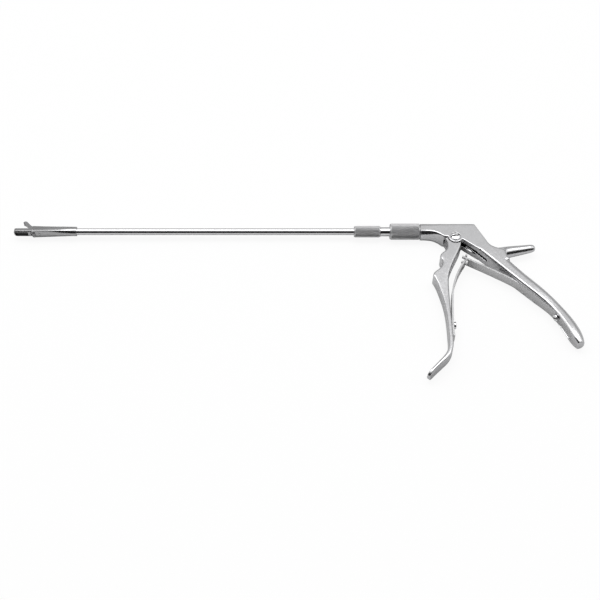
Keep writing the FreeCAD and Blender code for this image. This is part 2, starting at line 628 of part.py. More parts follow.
def lever_body():
    """The lever's side outline at full width, with rounded edges and a rounded tip."""
    shoulder = size("boss_dia") / 2 + size("lever_boss_gap")
    behind = -size("lever_shoulder_end")

    def on_shoulder(angle):
        turn = math.radians(angle)
        return PIVOT + V(math.cos(turn), math.sin(turn), 0) * shoulder

    edges = [curve_through(LEVER_FRONT).toShape(), curve_through(LEVER_SHIN).toShape(),
             Part.LineSegment(V(*LEVER_SHIN[-1], 0), V(*LEVER_REAR[0], 0)).toShape(),
             curve_through(LEVER_REAR).toShape(),
             Part.LineSegment(V(*LEVER_REAR[-1], 0), on_shoulder(behind)).toShape(),
             Part.Arc(on_shoulder(behind), on_shoulder(-110), on_shoulder(-175)).toShape(),
             Part.LineSegment(on_shoulder(-175), V(*LEVER_FRONT[0], 0)).toShape()]
    width = size("lever_width")
    solid = Part.Face(Part.Wire(Part.__sortEdges__(edges))).extrude(UP * width)
    solid.translate(UP * (-width / 2))
    rims = [edge for edge in solid.Edges if edge.Length > 12 and edge.Curve.TypeId != "Part::GeomCircle"
            and abs(abs(edge.CenterOfMass.z) - width / 2) < 0.01]
    solid = solid.makeChamfer(size("lever_round"), rims)
    tip = V(*LEVER_SHIN[-1], 0) * 0.5 + V(*LEVER_REAR[0], 0) * 0.5
    along = V(*LEVER_SHIN[-1], 0) - V(*LEVER_SHIN[-2], 0)
    along.normalize()
    hub = tip - along * (width / 2)
    disc = Part.makeCylinder(width / 2, 20, hub - side_of(along) * 10, side_of(along))
    corners = [hub - side_of(along) * 6, tip + along * 2 - side_of(along) * 6,
               tip + along * 2 + side_of(along) * 6, hub + side_of(along) * 6]
    end = plate_of([(spot.x, spot.y) for spot in corners], 2 * width)
    return solid.cut(end.cut(disc))


def lever_tongue():
    """The tongue between the cheeks, with its fork around the rod end."""
    hub = size("tongue_dia")
    arm = size("fork_arm") / 2
    tongue = post(hub, PIVOT, -size("tongue_thick") / 2, size("tongue_thick") / 2)
    root = plate_of(((-hub / 2, PIVOT.y), (hub / 2 - 0.6, PIVOT.y), (hub / 2 - 0.8, PIVOT.y - 6),
                     (-hub / 2, PIVOT.y - 6)), size("tongue_thick"))
    stem = plate_of(((-3.4, -6.2), (-arm, -2.8), (-arm, 0), (arm, 0), (arm, -2.8), (3.4, -6.2)),
                    size("tongue_thick"))
    ears = post(size("fork_dia"), V(0, 0, 0), -size("tongue_thick") / 2, size("tongue_thick") / 2)
    return tongue.fuse([root, stem, ears])


def finger_lever():
    body = lever_body().fuse(lever_tongue()).removeSplitter()
    fork = block((-2.5, 2.5), (-1.15, 3.0), size("fork_gap"))
    bore = post(size("screw_dia") + 2 * size("fit_gap"), PIVOT)
    return body.cut(Part.makeCompound([fork, bore])).cut(screw_hole(*front_screw_place(), 0.0))


# Head with the fixed jaw, the moving jaw and its drive.
JAW_PIN = V(station(JAW_PIN_X), station(JAW_PIN_Y), 0)
LINK_PIN = V(station(LINK_PIN_X), station(LINK_PIN_Y), 0)


def head_cone():
    front, back = station(HEAD_FRONT), station(HEAD_BACK)
    return Part.makeCone(size("head_front_dia") / 2, size("head_rear_dia") / 2, back - front,
                         V(front, 0, 0), V(1, 0, 0))


def jaw_housing():
    """The cone on the tube's end, with the windowed fixed jaw ahead of it."""
    tip, front, back = station(BASKET_TIP), station(HEAD_FRONT), station(HEAD_BACK)
    basket = block((tip, front + 2), (-size("basket_bottom"), size("basket_top")), size("basket_width"))
    upright = [edge for edge in basket.Edges if abs(edge.tangentAt(edge.FirstParameter).y) > 0.9
               and edge.CenterOfMass.x < tip + 0.1]
    basket = basket.makeFillet(1.9, upright)
    lower = [edge for edge in basket.Edges if abs(edge.CenterOfMass.y + size("basket_bottom")) < 0.01
             and edge.CenterOfMass.x < front + 1.9]
    basket = basket.makeChamfer(0.6, lower)
    body = head_cone().fuse(basket).removeSplitter()
    window = size("window_width")
    nose = tip + size("basket_wall")
    web_front = nose + size("window_length")
    web_back = web_front + size("jaw_web")
    slot_back = LINK_PIN.x + size("bar_step") + 1.0
    groove_back = station(BAR_BACK) + size("rear_gap")
    cuts = [block((nose, slot_back), (-size("web_drop"), FAR), window),
            block((nose, web_front), (-FAR, 0), window),
            block((web_back, slot_back), (JAW_PIN.y - size("jaw_hub_dia") / 2 - 0.15, FAR), window),
            block((slot_back - 1, groove_back), (size("bar_bottom") - size("face_gap"), FAR),
                  size("bar_width") + 0.2),
            bar_along_x(size("shaft_dia") + 2 * size("seat_gap"), station(TUBE_FRONT), back + 1),
            bar_along_x(size("rod_dia") + 0.3, station(ROD_FRONT) - size("stroke") - 0.4, back),
            block((station(ROD_PIN_X) - size("lug_length") / 2 - size("stroke") - 0.3,
                   station(ROD_PIN_X) + size("lug_length") / 2 + 0.3), (0, 2),
                  size("lug_thick") + 0.3),
            post(size("jaw_pin_dia") + 2 * size("seat_gap"), JAW_PIN)]
    return body.cut(Part.makeCompound(cuts))


def upper_jaw():
    """The moving jaw, drawn shut along its hinge pin and opened about it."""
    crank = size("jaw_crank")
    lean = math.radians(size("jaw_open") / 2)
    thick = size("jaw_thick")
    link = V(-crank * math.sin(lean), crank * math.cos(lean), 0)
    hub, arm = size("jaw_hub_dia") / 2, size("jaw_arm_dia") / 2
    side = V(math.cos(lean), math.sin(lean), 0)
    web = [side * -hub, link - side * arm, link + side * arm, side * hub]
    beam = ((-0.2, 0.75), (-8.8, 0.8), (-9.8, 0.6), (-10.2, 0.3), (-10.65, 0.5), (-10.6, 1.4),
            (-10.1, 2.1), (-9.0, 2.4), (-6.0, 2.2), (-3.6, 2.4), (-1.8, 3.1))
    body = post(2 * hub, V(0, 0, 0), -thick / 2, thick / 2)
    body = body.fuse([post(2 * arm, link, -thick / 2, thick / 2),
                      plate_of([(spot.x, spot.y) for spot in web], thick), plate_of(beam, thick)])
    body = body.removeSplitter()
    pin_slot = []
    loose = size("link_pin_dia") + 0.22
    for reach in (0.962 * crank, 1.035 * crank):
        pin_slot.append(post(loose, link * (reach / crank)))
    along = link * (1 / crank)
    ends = [along * (0.962 * crank) - side * (loose / 2), along * (1.035 * crank) - side * (loose / 2),
            along * (1.035 * crank) + side * (loose / 2), along * (0.962 * crank) + side * (loose / 2)]
    pin_slot.append(plate_of([(spot.x, spot.y) for spot in ends], FAR))
    tongue_room = post(3.6, link, -size("jaw_slot") / 2, size("jaw_slot") / 2)
    hinge = post(size("jaw_pin_dia") + 2 * size("fit_gap"), V(0, 0, 0))
    body = body.cut(Part.makeCompound(pin_slot[:1])).cut(Part.makeCompound(pin_slot[1:2]))
    body = body.cut(pin_slot[2]).cut(tongue_room).cut(hinge)
    body.rotate(V(0, 0, 0), UP, -size("jaw_open"))
    body.translate(JAW_PIN)
    return body


def drive_bar():
    """The bar in the head's top groove, with a tongue in front and a lug under its rear end."""
    front, back = station(BAR_FRONT), station(BAR_BACK)
    bottom = size("bar_bottom")
    step = LINK_PIN.x + size("bar_step")
    wide = block((step, back), (bottom, FAR / 4), size("bar_width"))
    tongue = block((front, step + 1), (LINK_PIN.y - 0.85, LINK_PIN.y + 1.15), size("bar_tongue"))
    body = wide.fuse(tongue).common(head_cone())
    rod_pin = station(ROD_PIN_X)
    half = size("lug_length") / 2
    lug = block((rod_pin - half, rod_pin + half), (-0.95, bottom + 0.5), size("lug_thick"))
    body = body.fuse(lug).removeSplitter()
    link_hole = post(size("link_pin_dia") + 2 * size("seat_gap"), LINK_PIN)
    rod_hole = post(size("link_pin_dia") + 2 * size("seat_gap"), V(rod_pin, 0, 0))
    return body.cut(link_hole).cut(rod_hole)


def drive_rod():
    """The long rod, slotted in front for the drive bar's lug."""
    front = station(ROD_FRONT)
    rod_pin = station(ROD_PIN_X)
    rod = bar_along_x(size("rod_dia"), front, -size("rod_rear"))
    rod = rod.cut(block((front - 1, rod_pin + size("lug_length") / 2 + 0.3), (-FAR, FAR),
                        size("rod_slot")))
    return rod.cut(post(size("link_pin_dia") + 2 * size("seat_gap"), V(rod_pin, 0, 0)))


# The pieces, from the handles to the jaws.
shaped("rear_handle", rear_handle())
shaped("finger_lever", finger_lever())
shaped("rear_leaf_spring", rear_leaf_spring())
shaped("front_leaf_spring", front_leaf_spring())

spring_screw = (size("spring_screw_dia"), size("spring_head_dia"))
blade_top = size("blade_thick") + size("blade_lift") + size("head_lift")
shaped("rear_spring_screw", slotted_screw(*rear_screw_place(), spring_screw, (-2.2, blade_top),
                                          size("spring_head_thick"), 35))
shaped("front_spring_screw", slotted_screw(*front_screw_place(), spring_screw, (-2.2, blade_top),
                                           size("spring_head_thick"), 70))
shaped("pivot_screw", slotted_screw(PIVOT, UP, (size("screw_dia"), size("screw_head_dia")),
                                    (-HALF + size("face_gap"), HALF - size("screw_seat") + 0.02),
                                    size("screw_head_thick"), size("screw_turn")))

NUT_RADIUS = "dim.nut_dia / 2"
turned("lock_nut", (
    (f"{NUT_FRONT}", "dim.sleeve_dia / 2 + dim.fit_gap"),
    (f"{NUT_FRONT}", f"{NUT_RADIUS} - dim.knurl_chamfer"),
    (f"{NUT_FRONT} + dim.knurl_chamfer", NUT_RADIUS),
    (f"{NUT_BACK} - dim.knurl_chamfer", NUT_RADIUS),
    (f"{NUT_BACK}", f"{NUT_RADIUS} - dim.knurl_chamfer"),
    (f"{NUT_BACK}", "dim.spigot_dia / 2 + dim.fit_gap"),
    (f"{NUT_SEAT}", "dim.spigot_dia / 2 + dim.fit_gap"),
    (f"{NUT_SEAT}", "dim.sleeve_dia / 2 + dim.fit_gap")))
KNOB_RADIUS = "dim.knob_dia / 2"
turned("rotation_knob", (
    (f"{KNOB_FRONT}", "dim.shaft_dia / 2 + dim.seat_gap"),
    (f"{KNOB_FRONT}", f"{KNOB_RADIUS} - dim.knurl_chamfer"),
    (f"{KNOB_FRONT} + dim.knurl_chamfer", KNOB_RADIUS),
    (f"{KNOB_BACK} - dim.knurl_chamfer", KNOB_RADIUS),
    (f"{KNOB_BACK}", f"{KNOB_RADIUS} - dim.knurl_chamfer"),
    (f"{KNOB_BACK}", "dim.sleeve_dia / 2 + dim.seat_gap"),
    (f"{KNOB_SEAT}", "dim.sleeve_dia / 2 + dim.seat_gap"),
    (f"{KNOB_SEAT}", "dim.shaft_dia / 2 + dim.seat_gap")))
SLEEVE_BORE = "dim.shaft_dia / 2 + dim.seat_gap"
turned("shaft_sleeve", (
    (f"{KNOB_SEAT} + dim.face_gap", SLEEVE_BORE),
    (f"{KNOB_SEAT} + dim.face_gap", "dim.sleeve_dia / 2"),
    (f"{FLANGE_FRONT}", "dim.sleeve_dia / 2"),
    (f"{FLANGE_FRONT}", "dim.flange_dia / 2"),
    (f"{FLANGE_BACK}", "dim.flange_dia / 2"),
    (f"{FLANGE_BACK}", "dim.sleeve_dia / 2"),
    ("-dim.sleeve_rear", "dim.sleeve_dia / 2"),
    ("-dim.sleeve_rear", SLEEVE_BORE)))
tube("slip_washer", WASHER_FRONT, WASHER_BACK, "dim.flange_dia / 2",
     "dim.sleeve_dia / 2 + dim.seat_gap")
tube("shaft_tube", TUBE_FRONT, "-dim.shaft_rear", "dim.shaft_dia / 2", "dim.shaft_bore / 2")
BUSH_SIDES = ("dim.shaft_bore / 2 - dim.seat_gap", "dim.rod_dia / 2 + dim.fit_gap")
tube("front_bush", TUBE_FRONT, f"{TUBE_FRONT} + dim.bush_length", *BUSH_SIDES)
tube("rear_bush", "-dim.shaft_rear - dim.bush_length", "-dim.shaft_rear", *BUSH_SIDES)
turned("rod_end", (
    (HUB_FRONT, "dim.rod_dia / 2 + dim.seat_gap"),
    (HUB_FRONT, "dim.hub_dia / 2"),
    (SPOOL_FRONT, "dim.hub_dia / 2"),
    (SPOOL_FRONT, "dim.spool_dia / 2"),
    ("-dim.spool_neck / 2", "dim.spool_dia / 2"),
    ("-dim.spool_neck / 2", "dim.spool_neck_dia / 2"),
    ("dim.spool_neck / 2", "dim.spool_neck_dia / 2"),
    ("dim.spool_neck / 2", "dim.spool_dia / 2"),
    ("dim.spool_neck / 2 + dim.spool_flange", "dim.spool_dia / 2"),
    ("dim.spool_neck / 2 + dim.spool_flange", "0"),
    ("-dim.rod_rear + dim.face_gap", "0"),
    ("-dim.rod_rear + dim.face_gap", "dim.rod_dia / 2 + dim.seat_gap")))

shaped("drive_rod", drive_rod())
shaped("drive_bar", drive_bar())
shaped("jaw_housing", jaw_housing())
shaped("upper_jaw", upper_jaw())
cross_pin("jaw_hinge_pin", JAW_PIN_X, JAW_PIN_Y, "dim.jaw_pin_dia", "2 * dim.head_front_dia * 0.41")
cross_pin("link_pin", LINK_PIN_X, LINK_PIN_Y, "dim.link_pin_dia", "dim.jaw_thick - 0.1")
cross_pin("bar_pin", ROD_PIN_X, "0", "dim.link_pin_dia", "dim.rod_dia - 0.3")

PIECES = ("rear_handle", "finger_lever", "rear_leaf_spring", "front_leaf_spring", "rear_spring_screw",
          "front_spring_screw", "pivot_screw", "lock_nut", "rotation_knob", "shaft_sleeve",
          "slip_washer", "shaft_tube", "front_bush", "rear_bush", "rod_end", "drive_rod", "drive_bar",
          "jaw_housing", "upper_jaw", "jaw_hinge_pin", "link_pin", "bar_pin")

doc.recompute()
for item in doc.Objects:
    if "Invalid" in item.State or "Error" in item.State:
        raise RuntimeError(f"{item.Name} did not build: {item.State}")
os.makedirs("parts", exist_ok=True)
for name in PIECES:
    piece = doc.getObjectsByLabel(name)[0]
    shape = piece.Shape
    if shape.isNull() or not shape.isValid():
        raise RuntimeError(f"{name} has no valid shape")
    shape.exportStep(f"parts/{name}.step")
    print(name, len(shape.Solids), round(shape.Volume, 2))
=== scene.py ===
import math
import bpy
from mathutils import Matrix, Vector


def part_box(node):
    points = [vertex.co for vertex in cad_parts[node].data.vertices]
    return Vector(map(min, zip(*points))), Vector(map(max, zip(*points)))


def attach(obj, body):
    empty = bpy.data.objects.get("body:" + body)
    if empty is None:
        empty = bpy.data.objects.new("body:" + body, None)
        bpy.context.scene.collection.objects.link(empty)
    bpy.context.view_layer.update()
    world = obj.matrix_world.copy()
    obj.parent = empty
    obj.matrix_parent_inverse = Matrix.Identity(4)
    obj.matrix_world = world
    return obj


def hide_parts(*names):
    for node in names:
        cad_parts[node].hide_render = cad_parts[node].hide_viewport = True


bl_info = {
    "name": "Biopsy Punch Visuals",
    "version": (1, 0, 0),
    "blender": (4, 5, 0),
    "location": "View3D > Sidebar > Biopsy Punch",
    "description": "Dresses the packed biopsy punch with polished steel, knurled collars and a studio stage",
    "category": "Object",
}

import bmesh
import bpy
from mathutils import Vector

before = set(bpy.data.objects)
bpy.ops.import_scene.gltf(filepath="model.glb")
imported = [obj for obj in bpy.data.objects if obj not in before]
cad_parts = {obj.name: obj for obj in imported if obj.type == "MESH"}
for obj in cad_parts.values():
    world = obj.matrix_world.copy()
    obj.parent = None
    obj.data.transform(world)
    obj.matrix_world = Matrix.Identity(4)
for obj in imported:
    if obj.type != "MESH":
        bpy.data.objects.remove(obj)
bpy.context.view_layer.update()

MM = 0.001
# Height of the shaft's axis over the floor, in millimetres.
AXIS = 5.15

# The CAD nodes that each finish goes on.
HANDLES = ("rear_handle", "finger_lever")
SPRINGS = ("front_leaf_spring", "rear_leaf_spring")
SCREWS = ("pivot_screw", "front_spring_screw", "rear_spring_screw")
TUBES = ("shaft_tube", "shaft_sleeve", "slip_washer", "front_bush", "rear_bush", "rod_end", "drive_rod")
HEAD = ("jaw_housing", "drive_bar")
JAWS = ("upper_jaw",)
PINS = ("jaw_hinge_pin", "link_pin", "bar_pin")

# Places and sizes of the shapes are in millimetres, in the instrument's own frame.
# Sections of the forged neck: station, top, half thickness, underside and its corner radius.
# Heights are from the shaft's axis. The last sections lie inside the cheeks.
NECK = ((-20.2, 4.55, 4.45, -4.85, 4.0), (-17.0, 4.5, 4.5, -4.85, 3.9), (-14.4, 4.35, 4.58, -4.87, 3.5),
        (-12.6, 4.15, 4.7, -5.1, 3.1), (-11.0, 4.0, 4.84, -5.55, 2.6), (-9.4, 3.88, 4.98, -6.3, 2.1),
        (-8.1, 3.8, 5.08, -7.2, 1.7), (-7.2, 3.74, 5.13, -7.95, 1.4), (-5.6, 3.7, 5.15, -8.0, 0.9),
        (-4.0, 3.7, 5.15, -8.0, 0.5), (-2.0, 3.7, 5.15, -8.0, 0.4))
NECK_END = -4.4
# The section's flat sides end at the shoulder; its corners stand out by a share of their radius.
NECK_SHOULDER = 0.7
NECK_BULGE = 0.1125
CURVE_STEPS = 8
FLAT_STEPS = 4

# The spigot in the lock nut and the bore for the shaft: front, back and radius.
SPIGOT = (-31.1, -17.0, 3.8)
BORE = (-32.0, -10.6, 2.8)

# The slot between the cheeks: its outline and half its width. Cutters reach past both sides.
NECK_SLOT = ((-10.6, -3.6), (-6.6, -3.6), (-6.6, -20), (1, -20), (1, 1.9), (-10.6, 1.9))
NECK_SLOT_HALF = 1.7
CUTTER_LEVELS = (-5, 20)
NECK_ROOM = ((-50, -30), (NECK_END, -30), (NECK_END, 20), (-50, 20))

# Seat of the pivot screw's head.
PIVOT = (0.0, -8.0)
SEAT_RADIUS = 3.1
SEAT_DEPTH = 0.5

# Lands that narrow and end the slot in the grip's front face, and close the channel below the foot.
SLOT_LAND = ((6.55, -10.2), (17.54, -22.9), (18.9, -21.73), (7.91, -9.02))
SLOT_END = ((17.54, -22.9), (22.27, -28.33), (26.05, -25.06), (21.32, -19.63))
FOOT_LAND = ((58.58, -77.3), (58.97, -78.44), (59.58, -80.27), (62.5, -79.5), (61.0, -76.3))
# Half widths of the narrowed slot, the slot as cut, and the channel.
LAND_INNER = 0.95
LAND_OUTER = 1.9
FOOT_HALF = 3.4

# Outline of what is forged away behind the heel, down to the saddle above the spur.
HEEL = ((6.9, 12.0), (17.5, -10.2), (18.2, -11.7), (19.3, -13.4), (20.8, -14.9), (22.8, -16.0), (25.0, -16.7),
        (60.0, -16.7), (60.0, 12.0))
# The web that fills the corner between grip and spur.
SPUR_WEB = ((20.0, -15.2), (23.0, -16.1), (25.4, -16.6), (27.4, -17.1), (28.4, -18.3), (28.7, -20.2),
            (28.9, -22.2), (29.5, -23.9), (30.6, -25.4), (27.0, -25.4), (20.0, -20.0))
# The thumb spur: its buried root, its rise, and its radius at distances along it.
SPUR_ROOT = (19.0, -18.6)
SPUR_RISE = math.radians(11.5)
SPUR = ((4.0, 3.7), (10.0, 3.62), (13.0, 3.45), (16.0, 3.2), (19.0, 2.95), (22.0, 2.7), (25.5, 2.45),
        (27.2, 2.2), (28.1, 1.7), (28.55, 0.9))
# Blends of the forging: centre, reach and rounds of smoothing.
FRAME_BLENDS = (((29.5, -19.5, 0), 7.5, 26), ((23.5, -15.0, 0), 6.5, 18))
LEVER_BLEND = ((-10.0, -60.0, 0), 44.0, 2)

# The lever's flats draw in between these heights, by this share of its thickness.
LEVER_TAPER = (-20.0, -56.0)
LEVER_THINNED = 0.12

# Screws: node, body, seat, way the head faces, levels along it, shank and head radius, turn of the slot.
SCREW_PLACES = (
    ("pivot_screw", "frame", (*PIVOT, AXIS), (0, 0, 1), (-5.05, 4.77, 6.07), (1.5, 2.72), math.radians(13)),
    ("front_spring_screw", "lever", (-7.02, -70.2, AXIS), (1, 0, 0), (-2.2, 1.36, 2.76), (1.0, 2.15),
     math.radians(70)),
    ("rear_spring_screw", "frame", (53.86, -63.82, AXIS), (-0.8724, -0.4889, 0), (-2.2, 1.36, 2.76),
     (1.0, 2.15), math.radians(35)))
# Width and depth of the driver slot, and the chamfers of a screw's point and of the head's foot.
DRIVER_SLOT = (0.75, 0.85)
SCREW_POINT = 0.2
SCREW_FOOT = 0.08
# The head's upright part and dome, as shares of its height; how far the dome draws in; its crown.
SCREW_WALL = 0.5
SCREW_DOME = 0.3
SCREW_DRAWN_IN = 0.35
SCREW_DOME_STEPS = 6
SCREW_CROWN = (0.93, 0.55)
SCREW_TIP = 0.18

# Points round a turned shape.
ROUND_SIDES = 48
SPUR_SIDES = 40
SEAT_SIDES = 64

# The head's cone: its ends, its radii in the CAD at the tube and the jaws, and at the tube as turned.
HEAD_ENDS = (-226.0, -252.6)
HEAD_RADII = (2.9, 3.5, 2.62)
# Planes milled along the head: turn of the normal from the underside, and distance from the axis.
HEAD_PLANES = ((8.0, 2.4), (104.0, 2.75), (180.0, 3.4))
HEAD_SHARPNESS = 9
# The milling starts at the first share of the cone's length and is full after the second.
HEAD_MILLING = (0.06, 0.9)
# The skin moves from the first share of the cone's radius outward, and fully after the second.
HEAD_SKIN = (0.72, 0.2)
# The cup of the fixed jaw, between its nose and its web, half its width and its rim. Faces within it are
# painted near black as shade.
CUP = (-262.9, -254.9)
CUP_HALF = 1.62
CUP_RIM = 0.9
# The bar's groove stays as cut, and the fixed jaw's outer walls lean in above its underside.
GROOVE = (1.75, 0.8)
JAW_WALL = (1.75, 2.45)
JAW_LEAN = 0.17
JAW_HEIGHT = (-1.9, 2.9)

# Each collar's bores: how deep the front one is, its radius and the radius behind it.
NUT_BORES = (5.19, 2.8, 3.85)
NUT_TRIMMED = 0.6
KNOB_FRONT_BORE = 2.5
KNOB_BACK_BORE = 2.77
TUBE_CLEARANCE = 0.02

# What counts as touching, and as one point.
TOUCHING = 0.01
SAME_POINT = 0.0005

# The metals' patches and polishing grain.
PATINA = 0.06
PATCH_SCALE = 60.0
GRAIN_SCALE = 900.0
GRAIN_DETAIL = 6.0
GRAIN_HEIGHT = 0.02
NOISE_SPAN = (0.3, 0.7)
GLOSS_SPAN = (0.75, 1.3)
CORNER_SAMPLES = 6

# The photograph's frame is 600 pixels square; its lens is this many pixels long.
PHOTO_SIDE = 600
LENS_PIXELS = 1136.7
CLOSEST_SEEN = 0.01

# Half the floor's width and the lamp over the far side, in metres and watts.
FLOOR_REACH = 4.0
FLOOR_GAP = 0.05 * MM
LAMP_SIZE = (1.4, 0.5)
LAMP_POWER = 6.0
LAMP_PLACE = (-0.1, 0.25, 1.1)
LAMP_AIM = (-0.1, -0.03, 0)

# Brightness of the studio round the shaft's axis, from the floor in front, over the top, to the back.
# The dark stretch is the unlit side of the room behind the camera.
STUDIO_BANDS = ((0.0, 0.02), (0.365, 0.02), (0.405, 1.25), (0.645, 1.25), (0.715, 0.78), (0.8, 0.74),
                (0.83, 0.45), (1.0, 0.5))


class PunchFinishes(bpy.types.PropertyGroup):
    """Colours and gloss of the instrument's metals."""

    handle_colour: bpy.props.FloatVectorProperty(
        name="Handle steel", description="Satin polished stainless steel of the forged handles",
        subtype="COLOR", size=3, min=0, max=1, default=(0.62, 0.62, 0.63))
    handle_roughness: bpy.props.FloatProperty(
        name="Handle roughness", description="Blur of the reflections in the handles",
        min=0, max=1, default=0.2)
    spring_colour: bpy.props.FloatVectorProperty(
        name="Spring steel", description="Rolled strip of the two leaf springs",
        subtype="COLOR", size=3, min=0, max=1, default=(0.6, 0.6, 0.605))
    tube_colour: bpy.props.FloatVectorProperty(
        name="Tube steel", description="Mirror polished steel of the shaft and sleeve",
        subtype="COLOR", size=3, min=0, max=1, default=(0.7, 0.7, 0.71))
    knurl_colour: bpy.props.FloatVectorProperty(
        name="Knurled steel", description="Bead blasted steel of the two knurled collars",
        subtype="COLOR", size=3, min=0, max=1, default=(0.57, 0.57, 0.575))
    head_colour: bpy.props.FloatVectorProperty(
        name="Head steel", description="Steel of the head, its fixed jaw and the drive bar",
        subtype="COLOR", size=3, min=0, max=1, default=(0.45, 0.45, 0.455))
    jaw_colour: bpy.props.FloatVectorProperty(
        name="Jaw steel", description="Darker hardened steel of the moving jaw",
        subtype="COLOR", size=3, min=0, max=1, default=(0.3, 0.3, 0.305))
    head_detail: bpy.props.FloatProperty(
        name="Head detail", description="Size of the smallest form kept in the milled head",
        subtype="DISTANCE", unit="LENGTH", min=0.00005, max=0.0005, default=0.00015)
    screw_colour: bpy.props.FloatVectorProperty(
        name="Screw steel", description="Bright polished heads of the screws",
        subtype="COLOR", size=3, min=0, max=1, default=(0.88, 0.88, 0.89))
    frame_detail: bpy.props.FloatProperty(
        name="Forging detail", description="Size of the smallest form kept in the forged frame",
        subtype="DISTANCE", unit="LENGTH", min=0.0001, max=0.001, default=0.0003)
    edge_round: bpy.props.FloatProperty(
        name="Edge rounding", description="Rounding seen along the milled edges",
        subtype="DISTANCE", unit="LENGTH", min=0, max=0.002, default=0.00012)


class PunchKnurl(bpy.types.PropertyGroup):
    """The diamond pattern that is rolled into both collars."""

    pitch: bpy.props.FloatProperty(
        name="Diamond", description="Width of one diamond round the collar",
        subtype="DISTANCE", unit="LENGTH", min=0.0003, max=0.002, default=0.0006)
    depth: bpy.props.FloatProperty(
        name="Depth", description="Depth of the grooves between the diamonds",
        subtype="DISTANCE", unit="LENGTH", min=0, max=0.0005, default=0.00022)
    chamfer: bpy.props.FloatProperty(
        name="Chamfer", description="Chamfer at both ends of a collar",
        subtype="DISTANCE", unit="LENGTH", min=0.0001, max=0.001, default=0.0005)


class PunchStage(bpy.types.PropertyGroup):
    """Floor, light and camera."""

    floor_colour: bpy.props.FloatVectorProperty(
        name="Floor", description="Pale floor that the instrument lies on",
        subtype="COLOR", size=3, min=0, max=1, default=(0.9, 0.9, 0.9))
    floor_glow: bpy.props.FloatProperty(
        name="Floor white", description="Share of plain white that the camera sees in the floor",
        subtype="FACTOR", min=0, max=1, default=0.9)
    floor_mirrored: bpy.props.FloatProperty(
        name="Floor in the metal", description="Share of the floor's brightness that polished metal shows",
        subtype="FACTOR", min=0, max=1, default=0.72)
    camera_target: bpy.props.FloatVectorProperty(
        name="Looked at", description="Point at the middle of the picture",
        subtype="TRANSLATION", size=3, default=(-0.09215, -0.052, 0.00515))
    camera_distance: bpy.props.FloatProperty(
        name="Camera distance", description="Camera to the point at the middle of the picture",
        subtype="DISTANCE", unit="LENGTH", min=0.1, max=5, default=0.65)
    camera_elevation: bpy.props.FloatProperty(
        name="Camera elevation", description="Height of the camera above the floor's horizon",
        subtype="ANGLE", unit="ROTATION", min=0, max=math.pi / 2, default=math.radians(52))


def link(tree, source, output, target, field):
    tree.links.new(source.outputs[output], target.inputs[field])


def new_material(name):
    """A material with an empty node tree, and its output."""
    material = bpy.data.materials.new(name)
    material.use_nodes = True
    tree = material.node_tree
    tree.nodes.clear()
    return material, tree, tree.nodes.new("ShaderNodeOutputMaterial")


def grain(tree, stretch, scale, detail=3.0):
    """Fine noise in the instrument's own coordinates, stretched along one axis."""
    place = tree.nodes.new("ShaderNodeTexCoord")
    mapping = tree.nodes.new("ShaderNodeMapping")
    mapping.inputs["Scale"].default_value = stretch
    noise = tree.nodes.new("ShaderNodeTexNoise")
    noise.inputs["Scale"].default_value = scale
    noise.inputs["Detail"].default_value = detail
    link(tree, place, "Object", mapping, "Vector")
    link(tree, mapping, "Vector", noise, "Vector")
    return noise


def ranged(tree, source, output, low, high):
    """A noise value brought between two values."""
    spread = tree.nodes.new("ShaderNodeMapRange")
    spread.inputs["From Min"].default_value = NOISE_SPAN[0]
    spread.inputs["From Max"].default_value = NOISE_SPAN[1]
    spread.inputs["To Min"].default_value = low
    spread.inputs["To Max"].default_value = high
    link(tree, source, output, spread, "Value")
    return spread


def steel(name, colour, roughness, stretch, edge, bump=0.04):
    """Stainless steel with a polishing grain, faint patches and rounded edges."""
    material, tree, output = new_material(name)
    metal = tree.nodes.new("ShaderNodeBsdfPrincipled")
    metal.inputs["Metallic"].default_value = 1.0
    patches = grain(tree, (1, 1, 1), PATCH_SCALE)
    tone = tree.nodes.new("ShaderNodeMix")
    tone.data_type = "RGBA"
    tone.inputs["A"].default_value = [*(level * (1 - PATINA) for level in colour), 1]
    tone.inputs["B"].default_value = [*(min(1, level * (1 + PATINA)) for level in colour), 1]
    link(tree, patches, "Fac", tone, "Factor")
    link(tree, tone, "Result", metal, "Base Color")
    scratches = grain(tree, stretch, GRAIN_SCALE, GRAIN_DETAIL)
    gloss = ranged(tree, scratches, "Fac", roughness * GLOSS_SPAN[0], roughness * GLOSS_SPAN[1])
    link(tree, gloss, "Result", metal, "Roughness")
    corner = tree.nodes.new("ShaderNodeBevel")
    corner.samples = CORNER_SAMPLES
    corner.inputs["Radius"].default_value = edge
    relief = tree.nodes.new("ShaderNodeBump")
    relief.inputs["Strength"].default_value = bump
    relief.inputs["Distance"].default_value = GRAIN_HEIGHT * MM
    link(tree, scratches, "Fac", relief, "Height")
    link(tree, corner, "Normal", relief, "Normal")
    link(tree, relief, "Normal", metal, "Normal")
    link(tree, metal, "BSDF", output, "Surface")
    return material


def dress(names, material):
    """Put one finish on several CAD nodes."""
    for name in names:
        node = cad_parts[name]
        node.data.materials.clear()
        node.data.materials.append(material)


def turns(sides):
    """The angles of an even ring of points."""
    return [2 * math.pi * side / sides for side in range(sides)]


def clamp(value):
    return min(1.0, max(0.0, value))


